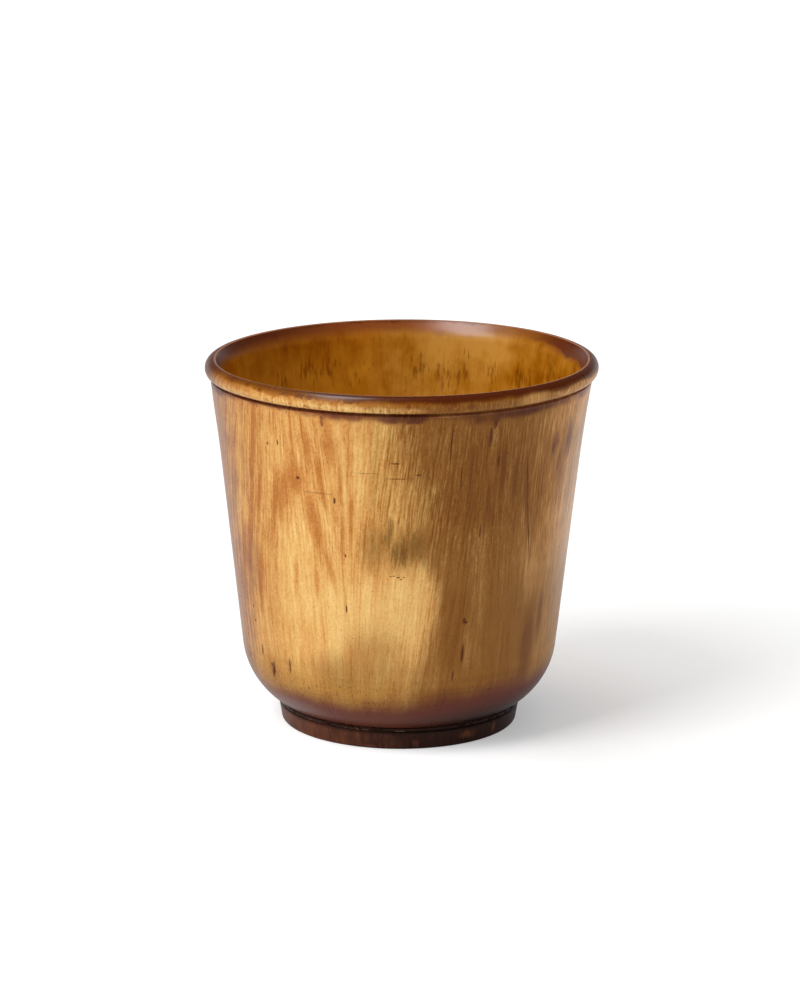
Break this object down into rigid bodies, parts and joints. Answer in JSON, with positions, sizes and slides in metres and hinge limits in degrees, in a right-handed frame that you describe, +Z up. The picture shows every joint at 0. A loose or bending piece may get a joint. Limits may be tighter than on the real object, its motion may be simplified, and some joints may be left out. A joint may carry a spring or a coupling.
{
  "type": "horn drinking cup",
  "caption": "Turned horn beaker with a beaded rim, tapering to a rounded shoulder and a glued foot ring, closed by a sprung horn disc.",
  "frame": {"origin": "centre of the foot ring's resting face, on the table", "axes": "+Z up along the turning axis; +X and +Y are free choices round it, with -Y towards the picture's camera"},
  "size_m": [0.092, 0.092, 0.087],
  "materials": {
    "horn": "satin",
    "disc_horn": "satin",
    "pitch": "satin",
    "foot_horn": "satin"
  },
  "bodies": {
    "root": {"horn_beaker": "horn", "base_disc": "disc_horn", "pitch_seam": "pitch", "foot_ring": "foot_horn"}
  },
  "joints": []
}
